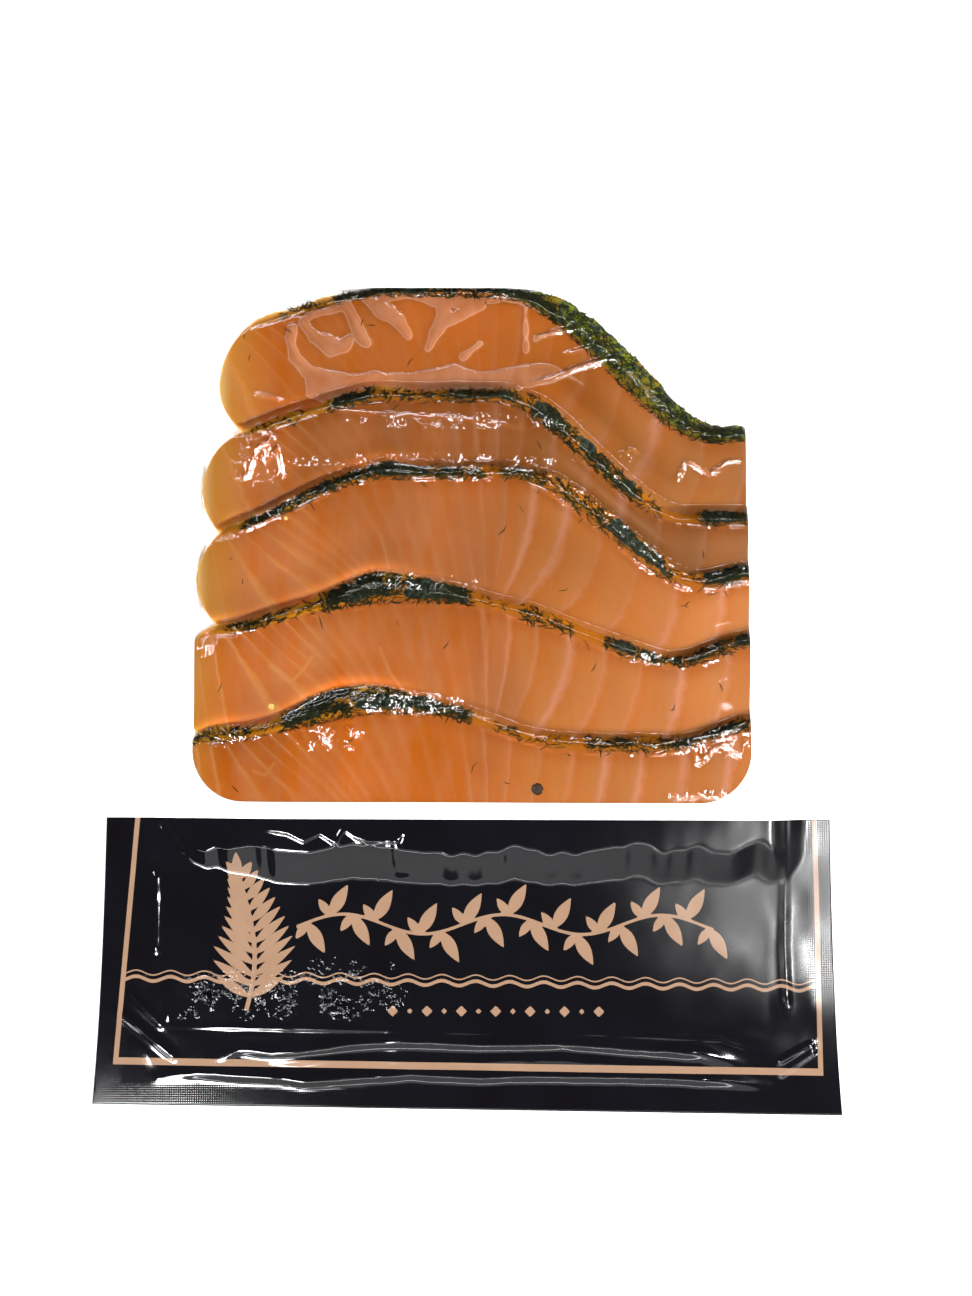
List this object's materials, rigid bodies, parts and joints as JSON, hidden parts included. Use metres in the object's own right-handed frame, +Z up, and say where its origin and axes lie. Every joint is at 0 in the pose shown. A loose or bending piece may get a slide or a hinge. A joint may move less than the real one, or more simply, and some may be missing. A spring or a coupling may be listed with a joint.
{
  "type": "pack of smoked salmon",
  "caption": "Flat sealed film pouch of overlapping dill-edged salmon slices on a white card, seen through a clear rounded window above a black label band.",
  "frame": {"origin": "middle of the pouch's flat underside, on the surface it lies on", "axes": "+Z up out of the window, +Y towards the far end where the first slice lies, -Y towards the label band"},
  "size_m": [0.2, 0.25, 0.0089],
  "materials": {
    "printed_film": "glossy printed film, white above and black at the label",
    "white_card": "smooth coated card",
    "salmon": "moist orange flesh with pale fat lines and a dark dill edge",
    "clear_film": "clear glossy film with fine crinkles",
    "dill": "dark green chopped dill"
  },
  "bodies": {
    "root": {"pouch": "printed_film", "card": "white_card", "slice_1": "salmon", "slice_2": "salmon", "slice_3": "salmon", "slice_4": "salmon", "slice_5": "salmon"}
  },
  "joints": []
}
